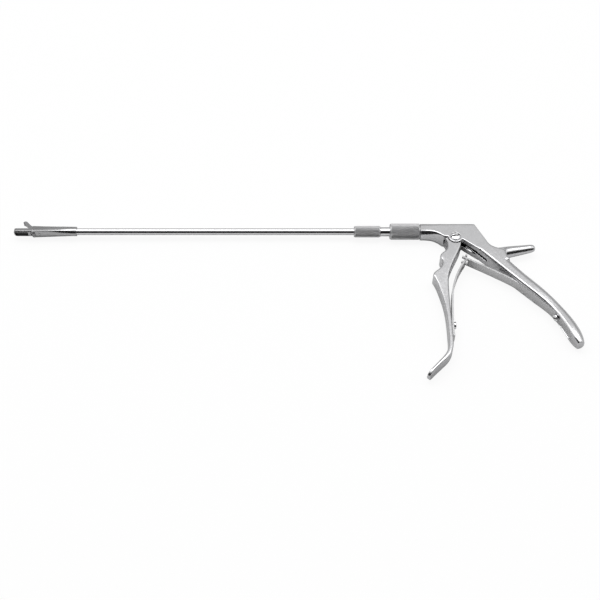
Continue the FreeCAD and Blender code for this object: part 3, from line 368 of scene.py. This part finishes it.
def diamond_grid(points, faces, front, back, radius, columns, rows, depth):
    """The knurled wall: peaks and grooves alternate, and each cell is split along its groove."""
    first = len(points)
    for row in range(rows + 1):
        along = front + (back - front) * row / rows
        on_end = row in (0, rows)
        for column, angle in enumerate(turns(columns)):
            low = (row + column) % 2 == 1 or on_end
            reach = radius - (depth if low else 0.0)
            points.append((along, reach * math.cos(angle), reach * math.sin(angle)))
    for row in range(rows):
        for column in range(columns):
            corner = [first + row * columns + column,
                      first + row * columns + (column + 1) % columns,
                      first + (row + 1) * columns + (column + 1) % columns,
                      first + (row + 1) * columns + column]
            if (row + column) % 2 == 0:
                faces += [(corner[0], corner[1], corner[3]), (corner[1], corner[2], corner[3])]
            else:
                faces += [(corner[0], corner[1], corner[2]), (corner[0], corner[2], corner[3])]
    return first, first + rows * columns


def ring_at(points, along, radius, columns):
    """One plain ring of points round the shaft's axis."""
    first = len(points)
    points.extend((along, radius * math.cos(angle), radius * math.sin(angle)) for angle in turns(columns))
    return first


def join_rings(faces, one, other, columns):
    for column in range(columns):
        after = (column + 1) % columns
        faces.append((one + column, one + after, other + after, other + column))


def mesh_object(name, points, faces):
    """An object from points in metres."""
    mesh = bpy.data.meshes.new(name)
    mesh.from_pydata(points, [], faces)
    mesh.validate()
    mesh.update()
    piece = bpy.data.objects.new(name, mesh)
    bpy.context.scene.collection.objects.link(piece)
    return piece


def lofted(name, rings):
    """A closed solid through rings with as many points each, in millimetres."""
    count = len(rings[0])
    points = [tuple(level * MM for level in spot) for ring in rings for spot in ring]
    faces = [tuple(reversed(range(count)))]
    for first in range(0, (len(rings) - 1) * count, count):
        for place in range(count):
            after = (place + 1) % count
            faces.append((first + place, first + after, first + count + after, first + count + place))
    faces.append(tuple(range((len(rings) - 1) * count, len(rings) * count)))
    return mesh_object(name, points, faces)


def prism(name, outline, low, high):
    """A plate from an outline in the instrument's plane, between two levels in millimetres."""
    return lofted(name, [[(x, y, level) for x, y in outline] for level in (low, high)])


def rod(name, front, back, radius):
    """A round solid on the shaft's axis, in millimetres."""
    rings = [[(along, -radius * math.cos(turn), AXIS + radius * math.sin(turn))
              for turn in turns(ROUND_SIDES)] for along in (front, back)]
    return lofted(name, rings)


def neck_ring(along, top, half, bottom, corner):
    """A section of the neck: milled flats, a round underside and an arched top."""
    bulge = NECK_BULGE * corner
    hub = half + bulge - corner
    crease = math.asin((half - hub) / corner)
    side = []
    for step in range(CURVE_STEPS + 1):
        turn = crease * step / CURVE_STEPS
        side.append((bottom + corner - corner * math.cos(turn), hub + corner * math.sin(turn)))
    low = side[-1][0]
    side += [(low + (NECK_SHOULDER - low) * step / FLAT_STEPS, half) for step in range(1, FLAT_STEPS)]
    for step in range(CURVE_STEPS + 1):
        turn = math.pi / 2 * step / CURVE_STEPS
        side.append((NECK_SHOULDER + (top - NECK_SHOULDER) * math.sin(turn), half * math.cos(turn)))
    ring = side + [(y, -z) for y, z in reversed(side[:-1])]
    return [(along, y, AXIS + z) for y, z in ring]


def spur_ring(along, radius):
    """A ring of points round the thumb spur."""
    ring = []
    for turn in turns(SPUR_SIDES):
        across, up = -radius * math.cos(turn), radius * math.sin(turn)
        ring.append((SPUR_ROOT[0] + along * math.cos(SPUR_RISE) - across * math.sin(SPUR_RISE),
                     SPUR_ROOT[1] + along * math.sin(SPUR_RISE) + across * math.cos(SPUR_RISE), AXIS + up))
    return ring


def cut_away(base, cutters):
    """Take the cutters out of a solid."""
    for cutter in cutters:
        change = base.modifiers.new("cut", "BOOLEAN")
        change.operation = "DIFFERENCE"
        change.solver = "EXACT"
        change.object = cutter
    bake(base)
    for cutter in cutters:
        bpy.data.objects.remove(cutter)


def bake(piece):
    """Make an object's modifiers part of its mesh."""
    seen = piece.evaluated_get(bpy.context.evaluated_depsgraph_get())
    mesh = bpy.data.meshes.new_from_object(seen)
    piece.modifiers.clear()
    piece.data = mesh


def shaped(name, shape):
    """An object from a bmesh, which is used up."""
    mesh = bpy.data.meshes.new(name)
    shape.to_mesh(mesh)
    shape.free()
    piece = bpy.data.objects.new(name, mesh)
    bpy.context.scene.collection.objects.link(piece)
    return piece


def gathered(name, pieces):
    """One object from several overlapping solids."""
    whole = bmesh.new()
    for piece in pieces:
        whole.from_mesh(piece.data)
        bpy.data.objects.remove(piece)
    return shaped(name, whole)


def relax(piece, centre, reach, rounds):
    """Blend the forging where a point's distance from a centre is within reach, in millimetres."""
    shape = bmesh.new()
    shape.from_mesh(piece.data)
    hub = Vector(centre) * MM
    for step in range(rounds):
        limit = reach * MM * (1 - 0.4 * step / rounds)
        near = [vert for vert in shape.verts
                if math.hypot(vert.co.x - hub.x, vert.co.y - hub.y) < limit]
        bmesh.ops.smooth_vert(shape, verts=near, factor=0.5, use_axis_x=True, use_axis_y=True,
                              use_axis_z=True)
    shape.to_mesh(piece.data)
    shape.free()


def slotted_screw(name, seat, facing, levels, radii, slot_turn):
    """A screw with a domed, slotted head; levels are its point, its head's foot and its top."""
    point, foot, top = levels
    shank, head = radii
    rise = top - foot
    profile = [(point, shank - SCREW_POINT), (point + SCREW_POINT, shank), (foot, shank),
               (foot, head - SCREW_FOOT), (foot + SCREW_FOOT, head), (foot + SCREW_WALL * rise, head)]
    for step in range(1, SCREW_DOME_STEPS):
        turn = math.pi / 2 * step / SCREW_DOME_STEPS
        profile.append((foot + SCREW_WALL * rise + SCREW_DOME * rise * math.sin(turn),
                        head - SCREW_DRAWN_IN * (1 - math.cos(turn))))
    profile += [(foot + SCREW_CROWN[0] * rise, SCREW_CROWN[1] * head), (top, SCREW_TIP * head)]
    rings = [[(radius * math.cos(turn), radius * math.sin(turn), level) for turn in turns(ROUND_SIDES)]
             for level, radius in profile]
    screw = lofted(name, rings)
    floor = top - DRIVER_SLOT[1]
    wide, long = DRIVER_SLOT[0] / 2, head + 1
    corners = [(-long, -wide), (long, -wide), (long, wide), (-long, wide)]
    cosine, sine = math.cos(slot_turn), math.sin(slot_turn)
    spun = [(x * cosine - y * sine, x * sine + y * cosine) for x, y in corners]
    cut_away(screw, (prism("driver_slot", spun, floor, top + 1),))
    # Faces of the driver slot take the second material: near-black painted shade for the shadow down in the
    # slot.
    for face in screw.data.polygons:
        place = face.center / MM
        across = abs(-place.x * sine + place.y * cosine)
        inside = (across < wide + TOUCHING and place.z > floor - TOUCHING
                  and place.xy.length < head - 10 * TOUCHING)
        face.material_index = 1 if inside else 0
        face.use_smooth = not inside
    aim = Vector(facing).to_track_quat("Z", "Y").to_matrix().to_4x4()
    aim.translation = Vector(seat) * MM
    screw.data.transform(aim)
    return screw


def welded_copy(node, name):
    """A copy of a CAD node with its points joined, to be reshaped."""
    shape = bmesh.new()
    shape.from_mesh(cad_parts[node].data)
    bmesh.ops.remove_doubles(shape, verts=shape.verts, dist=SAME_POINT * MM)
    return shaped(name, shape)


def reforge(piece, detail):
    """One even skin over overlapping solids."""
    remesh = piece.modifiers.new("forge", "REMESH")
    remesh.mode = "VOXEL"
    remesh.voxel_size = detail
    remesh.use_smooth_shade = True
    bake(piece)


def head_reach(turn, share, radius):
    """The head's outline at a turn from its underside: round at the tube, flat-sided at the jaws."""
    total = 0.0
    for normal, distance in HEAD_PLANES:
        for side in (1, -1):
            facing = math.cos(turn - side * math.radians(normal)) / distance
            total += max(0.0, facing) ** HEAD_SHARPNESS
    return radius * (1 - share) + share * total ** (-1 / HEAD_SHARPNESS)


def milled_head(settings):
    """The head's cone, milled flat along its sides towards the jaws."""
    piece = welded_copy("jaw_housing", "jaw_housing_milled")
    reforge(piece, settings.head_detail)
    back, front = HEAD_ENDS
    for vert in piece.data.vertices:
        place = vert.co / MM
        up = place.z - AXIS
        if place.x < front - TOUCHING:
            outer = clamp((abs(up) - JAW_WALL[0]) / (JAW_WALL[1] - JAW_WALL[0]))
            lean = JAW_LEAN * max(0.0, place.y - JAW_HEIGHT[0]) / JAW_HEIGHT[1]
            vert.co.z = (AXIS + up * (1 - lean * outer)) * MM
        in_groove = abs(up) < GROOVE[0] and place.y > GROOVE[1]
        if not front - TOUCHING <= place.x <= back + TOUCHING or in_groove:
            continue
        along = (back - place.x) / (back - front)
        cone = HEAD_RADII[0] + (HEAD_RADII[1] - HEAD_RADII[0]) * along
        reach = math.hypot(place.y, up)
        share = clamp((along - HEAD_MILLING[0]) / HEAD_MILLING[1])
        target = head_reach(math.atan2(up, -place.y), share, HEAD_RADII[2])
        weight = clamp((reach / cone - HEAD_SKIN[0]) / HEAD_SKIN[1])
        scale = 1 + (target / cone - 1) * weight * weight * (3 - 2 * weight)
        vert.co.y = place.y * scale * MM
        vert.co.z = (AXIS + up * scale) * MM
    # Faces within the cup take the second material: near-black painted shade for the shadow in the cup.
    for face in piece.data.polygons:
        place = face.center / MM
        inside = abs(place.z - AXIS) < CUP_HALF and CUP[0] < place.x < CUP[1] and place.y < CUP_RIM
        face.material_index = 1 if inside else 0
    return piece


def forged_lever(settings):
    """The finger lever with softened edges, a little thinner towards its foot."""
    piece = welded_copy("finger_lever", "finger_lever_forged")
    reforge(piece, settings.frame_detail)
    relax(piece, *LEVER_BLEND)
    high, low = LEVER_TAPER
    for vert in piece.data.vertices:
        share = clamp((high * MM - vert.co.y) / ((high - low) * MM))
        share = share * share * (3 - 2 * share)
        vert.co.z = AXIS * MM + (vert.co.z - AXIS * MM) * (1 - LEVER_THINNED * share)
    return piece


def forged_frame(settings):
    """The rear handle as forged: flat-sided neck, saddle and spur blended into the grip."""
    grip = welded_copy("rear_handle", "frame_rest")
    cut_away(grip, (prism("neck_room", NECK_ROOM, *CUTTER_LEVELS), prism("heel_room", HEEL, *CUTTER_LEVELS)))
    neck = lofted("neck", [neck_ring(*section) for section in NECK])
    spigot = rod("spigot", *SPIGOT)
    for piece in (neck, spigot):
        cut_away(piece, (rod("bore", *BORE),))
    cut_away(neck, (prism("slot", NECK_SLOT, AXIS - NECK_SLOT_HALF, AXIS + NECK_SLOT_HALF),))
    web = prism("spur_web", SPUR_WEB, 0.0, 2 * AXIS)
    lands = [prism("slot_land", SLOT_LAND, AXIS - LAND_OUTER, AXIS - LAND_INNER),
             prism("slot_land", SLOT_LAND, AXIS + LAND_INNER, AXIS + LAND_OUTER),
             prism("slot_end", SLOT_END, AXIS - LAND_OUTER, AXIS + LAND_OUTER),
             prism("foot_land", FOOT_LAND, AXIS - FOOT_HALF, AXIS + FOOT_HALF)]
    spur = lofted("spur", [spur_ring(*section) for section in SPUR])
    piece = gathered("rear_handle_forged", [grip, neck, spigot, web, spur] + lands)
    reforge(piece, settings.frame_detail)
    for blend in FRAME_BLENDS:
        relax(piece, *blend)
    rim = [(PIVOT[0] + SEAT_RADIUS * math.cos(turn), PIVOT[1] + SEAT_RADIUS * math.sin(turn))
           for turn in turns(SEAT_SIDES)]
    cut_away(piece, (prism("seat", rim, 2 * AXIS - SEAT_DEPTH, 2 * AXIS + 2),))
    return piece


def knurled_collar(name, node, step, fore, aft, trimmed=0.0):
    """A collar with a diamond knurl, whose bore changes at a step from its front face."""
    knurl = bpy.context.scene.punch_knurl
    low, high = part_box(node)
    front, back = low.x, high.x - trimmed
    radius, height = (high.y - low.y) / 2 - knurl.depth, (low.z + high.z) / 2
    columns = 2 * round(2 * math.pi * radius / knurl.pitch)
    body_length = back - front - 2 * knurl.chamfer
    rows = 2 * round(body_length / knurl.pitch)
    points, faces = [], []
    wall_front, wall_back = diamond_grid(points, faces, front + knurl.chamfer, back - knurl.chamfer,
                                         radius, columns, rows, knurl.depth)
    rim_front = ring_at(points, front, radius - knurl.chamfer, columns)
    rim_back = ring_at(points, back, radius - knurl.chamfer, columns)
    join_rings(faces, rim_front, wall_front, columns)
    join_rings(faces, wall_back, rim_back, columns)
    previous = rim_front
    for along, bore in ((front, fore), (front + step, fore), (front + step, aft), (back, aft)):
        inner = ring_at(points, along, bore, columns)
        join_rings(faces, inner, previous, columns)
        previous = inner
    join_rings(faces, rim_back, previous, columns)
    return mesh_object(name, [(x, y, z + height) for x, y, z in points], faces)


class PUNCH_OT_stage(bpy.types.Operator):
    """Lay the pale floor, light the studio and place the camera"""

    bl_idname = "punch.stage"
    bl_label = "Stage"

    def execute(self, context):
        settings = context.scene.punch_stage
        floor_under_object(settings)
        studio_world(context.scene)
        studio_lamps(context.scene)
        photo_camera(context.scene, settings)
        context.scene.view_settings.view_transform = "Standard"
        return {"FINISHED"}


def floor_under_object(settings):
    """A wide floor that the camera and polished metal see as nearly white."""
    mesh = bpy.data.meshes.new("studio_floor")
    corners = ((-1, -1), (1, -1), (1, 1), (-1, 1))
    mesh.from_pydata([(x * FLOOR_REACH, y * FLOOR_REACH, 0) for x, y in corners], [], [(0, 1, 2, 3)])
    floor = bpy.data.objects.new("studio_floor", mesh)
    floor.location.z = -FLOOR_GAP
    bpy.context.scene.collection.objects.link(floor)
    material, tree, output = new_material("floor_white")
    matte = tree.nodes.new("ShaderNodeBsdfDiffuse")
    dim = tree.nodes.new("ShaderNodeMix")
    dim.data_type = "RGBA"
    dim.inputs["A"].default_value = [*settings.floor_colour, 1]
    mirrored = [level * settings.floor_mirrored for level in settings.floor_colour]
    dim.inputs["B"].default_value = [*mirrored, 1]
    glow = tree.nodes.new("ShaderNodeEmission")
    glow.inputs["Color"].default_value = (1, 1, 1, 1)
    rays = tree.nodes.new("ShaderNodeLightPath")
    share = tree.nodes.new("ShaderNodeMath")
    share.operation = "MULTIPLY"
    share.inputs[1].default_value = settings.floor_glow
    mix = tree.nodes.new("ShaderNodeMixShader")
    link(tree, rays, "Is Camera Ray", share, 0)
    link(tree, share, 0, mix, 0)
    link(tree, rays, "Is Glossy Ray", dim, "Factor")
    link(tree, dim, "Result", matte, "Color")
    link(tree, matte, 0, mix, 1)
    link(tree, glow, 0, mix, 2)
    link(tree, mix, 0, output, "Surface")
    mesh.materials.append(material)


def studio_world(scene):
    """A plain studio, mirrored in bands; the camera itself sees only white."""
    world = bpy.data.worlds.new("studio")
    scene.world = world
    world.use_nodes = True
    tree = world.node_tree
    tree.nodes.clear()
    place = tree.nodes.new("ShaderNodeTexCoord")
    parts = tree.nodes.new("ShaderNodeSeparateXYZ")
    toward = tree.nodes.new("ShaderNodeMath")
    toward.operation = "MULTIPLY"
    toward.inputs[1].default_value = -1.0
    angle = tree.nodes.new("ShaderNodeMath")
    angle.operation = "ARCTAN2"
    turn = tree.nodes.new("ShaderNodeMath")
    turn.operation = "DIVIDE"
    turn.inputs[1].default_value = math.pi
    bands = tree.nodes.new("ShaderNodeValToRGB")
    stops = bands.color_ramp.elements
    while len(stops) > 1:
        stops.remove(stops[-1])
    stops[0].position = STUDIO_BANDS[0][0]
    for position, _ in STUDIO_BANDS[1:]:
        stops.new(position)
    for stop, (_, level) in zip(stops, STUDIO_BANDS):
        stop.color = (level, level, level, 1)
    rays = tree.nodes.new("ShaderNodeLightPath")
    studio = tree.nodes.new("ShaderNodeBackground")
    white = tree.nodes.new("ShaderNodeBackground")
    white.inputs["Color"].default_value = (1, 1, 1, 1)
    mix = tree.nodes.new("ShaderNodeMixShader")
    output = tree.nodes.new("ShaderNodeOutputWorld")
    link(tree, place, "Generated", parts, "Vector")
    link(tree, parts, "Y", toward, 0)
    link(tree, parts, "Z", angle, 0)
    link(tree, toward, 0, angle, 1)
    link(tree, angle, 0, turn, 0)
    link(tree, turn, 0, bands, "Fac")
    link(tree, bands, "Color", studio, "Color")
    link(tree, rays, "Is Camera Ray", mix, 0)
    link(tree, studio, 0, mix, 1)
    link(tree, white, 0, mix, 2)
    link(tree, mix, "Shader", output, "Surface")


def studio_lamps(scene):
    """One large soft lamp over the far side."""
    lamp = bpy.data.lights.new("overhead_softbox", "AREA")
    lamp.shape = "RECTANGLE"
    lamp.size, lamp.size_y = LAMP_SIZE
    lamp.energy = LAMP_POWER
    holder = bpy.data.objects.new("overhead_softbox", lamp)
    holder.location = LAMP_PLACE
    aim = Vector(LAMP_AIM) - holder.location
    holder.rotation_euler = aim.to_track_quat("-Z", "Y").to_euler()
    scene.collection.objects.link(holder)


def photo_camera(scene, settings):
    """The camera at the photograph's angle and distance."""
    data = bpy.data.cameras.new("photo_camera")
    data.angle = 2 * math.atan(PHOTO_SIDE / 2 / LENS_PIXELS)
    data.clip_start = CLOSEST_SEEN
    camera = bpy.data.objects.new("photo_camera", data)
    tilt = settings.camera_elevation
    target = Vector(settings.camera_target)
    camera.location = target + Vector((0, -math.cos(tilt), math.sin(tilt))) * settings.camera_distance
    camera.rotation_euler = (math.pi / 2 - tilt, 0, 0)
    scene.collection.objects.link(camera)
    scene.camera = camera


class PUNCH_OT_handles(bpy.types.Operator):
    """Polish the forged frame and the finger lever"""

    bl_idname = "punch.handles"
    bl_label = "Handles"

    def execute(self, context):
        look = context.scene.punch_finishes
        satin = steel("handle_satin_steel", look.handle_colour, look.handle_roughness,
                      stretch=(1, 1, 0.08), edge=look.edge_round)
        dress(HANDLES, satin)
        for forged, node, body in ((forged_frame(look), "rear_handle", "frame"),
                                   (forged_lever(look), "finger_lever", "lever")):
            forged.data.materials.append(satin)
            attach(forged, body)
            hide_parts(node)
        return {"FINISHED"}


class PUNCH_OT_springs(bpy.types.Operator):
    """Finish the two leaf springs and every screw"""

    bl_idname = "punch.springs"
    bl_label = "Springs and screws"

    def execute(self, context):
        look = context.scene.punch_finishes
        strip = steel("spring_strip_steel", look.spring_colour, roughness=0.22,
                      stretch=(1, 1, 0.1), edge=0.15 * MM)
        bright = steel("screw_bright_steel", look.screw_colour, roughness=0.1,
                       stretch=(1, 1, 1), edge=0.06 * MM)
        # Near-black painted shade for the walls and floor of the screws' driver slots.
        shade = steel("screw_slot_painted_shade", colour=(0.06, 0.06, 0.06), roughness=0.5,
                      stretch=(1, 1, 1), edge=0.02 * MM)
        dress(SPRINGS, strip)
        dress(SCREWS, bright)
        for node, body, seat, facing, levels, radii, turn in SCREW_PLACES:
            screw = slotted_screw(f"{node}_slotted", seat, facing, levels, radii, turn)
            screw.data.materials.append(bright)
            screw.data.materials.append(shade)
            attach(screw, body)
            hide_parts(node)
        return {"FINISHED"}


class PUNCH_OT_collars(bpy.types.Operator):
    """Knurl the lock nut and the rotation knob"""

    bl_idname = "punch.collars"
    bl_label = "Knurled collars"

    def execute(self, context):
        look = context.scene.punch_finishes
        blasted = steel("knurled_steel", look.knurl_colour, roughness=0.38,
                        stretch=(1, 1, 1), edge=0.03 * MM, bump=0.1)
        tube_low, tube_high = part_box("shaft_tube")
        tube_bore = (tube_high.y - tube_low.y) / 2 + TUBE_CLEARANCE * MM
        nut = knurled_collar("lock_nut_knurled", "lock_nut", *(size * MM for size in NUT_BORES),
                             trimmed=NUT_TRIMMED * MM)
        knob = knurled_collar("rotation_knob_knurled", "rotation_knob",
                              KNOB_FRONT_BORE * MM, tube_bore, KNOB_BACK_BORE * MM)
        for piece, node, body in ((nut, "lock_nut", "nut"), (knob, "rotation_knob", "shaft")):
            piece.data.materials.append(blasted)
            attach(piece, body)
            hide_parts(node)
        return {"FINISHED"}


class PUNCH_OT_shaft(bpy.types.Operator):
    """Mirror polish the shaft, its sleeve and the drive rod"""

    bl_idname = "punch.shaft"
    bl_label = "Shaft"

    def execute(self, context):
        look = context.scene.punch_finishes
        mirror = steel("tube_mirror_steel", look.tube_colour, roughness=0.09,
                       stretch=(0.05, 1, 1), edge=0.1 * MM, bump=0.02)
        dress(TUBES, mirror)
        return {"FINISHED"}


class PUNCH_OT_head(bpy.types.Operator):
    """Finish the head, the jaws, the drive bar and their pins"""

    bl_idname = "punch.head"
    bl_label = "Head and jaws"

    def execute(self, context):
        look = context.scene.punch_finishes
        dark = steel("jaw_steel", look.head_colour, roughness=0.2, stretch=(0.1, 1, 1), edge=0.08 * MM)
        # Near-black painted shade for the walls of the fixed jaw's cup.
        shade = steel("cup_painted_shade", colour=(0.05, 0.05, 0.05), roughness=0.55,
                      stretch=(1, 1, 1), edge=0.02 * MM)
        bright = steel("pin_bright_steel", look.tube_colour, roughness=0.14,
                       stretch=(1, 1, 1), edge=0.08 * MM)
        jaw = steel("upper_jaw_steel", look.jaw_colour, roughness=0.22, stretch=(0.1, 1, 1), edge=0.08 * MM)
        dress(HEAD, dark)
        dress(JAWS, jaw)
        dress(PINS, bright)
        head = milled_head(look)
        head.data.materials.append(dark)
        head.data.materials.append(shade)
        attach(head, "shaft")
        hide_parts("jaw_housing")
        return {"FINISHED"}


class PUNCH_PT_panel(bpy.types.Panel):
    """Lists the instrument's groups"""

    bl_idname = "PUNCH_PT_panel"
    bl_label = "Biopsy Punch"
    bl_space_type = "VIEW_3D"
    bl_region_type = "UI"
    bl_category = "Biopsy Punch"

    def draw(self, context):
        layout = self.layout
        for operator in OPERATORS:
            layout.operator(operator.bl_idname)
        for group in (context.scene.punch_finishes, context.scene.punch_knurl, context.scene.punch_stage):
            box = layout.box()
            for field in group.__annotations__:
                box.prop(group, field)


OPERATORS = (PUNCH_OT_stage, PUNCH_OT_handles, PUNCH_OT_springs, PUNCH_OT_collars, PUNCH_OT_shaft,
             PUNCH_OT_head)
CLASSES = (PunchFinishes, PunchKnurl, PunchStage) + OPERATORS + (PUNCH_PT_panel,)


def register():
    for item in CLASSES:
        bpy.utils.register_class(item)
    bpy.types.Scene.punch_finishes = bpy.props.PointerProperty(type=PunchFinishes)
    bpy.types.Scene.punch_knurl = bpy.props.PointerProperty(type=PunchKnurl)
    bpy.types.Scene.punch_stage = bpy.props.PointerProperty(type=PunchStage)


def unregister():
    del bpy.types.Scene.punch_stage
    del bpy.types.Scene.punch_knurl
    del bpy.types.Scene.punch_finishes
    for item in reversed(CLASSES):
        bpy.utils.unregister_class(item)


def main():
    register()
    bpy.ops.punch.stage()
    bpy.ops.punch.handles()
    bpy.ops.punch.springs()
    bpy.ops.punch.collars()
    bpy.ops.punch.shaft()
    bpy.ops.punch.head()


if __name__ == "__main__":
    main()
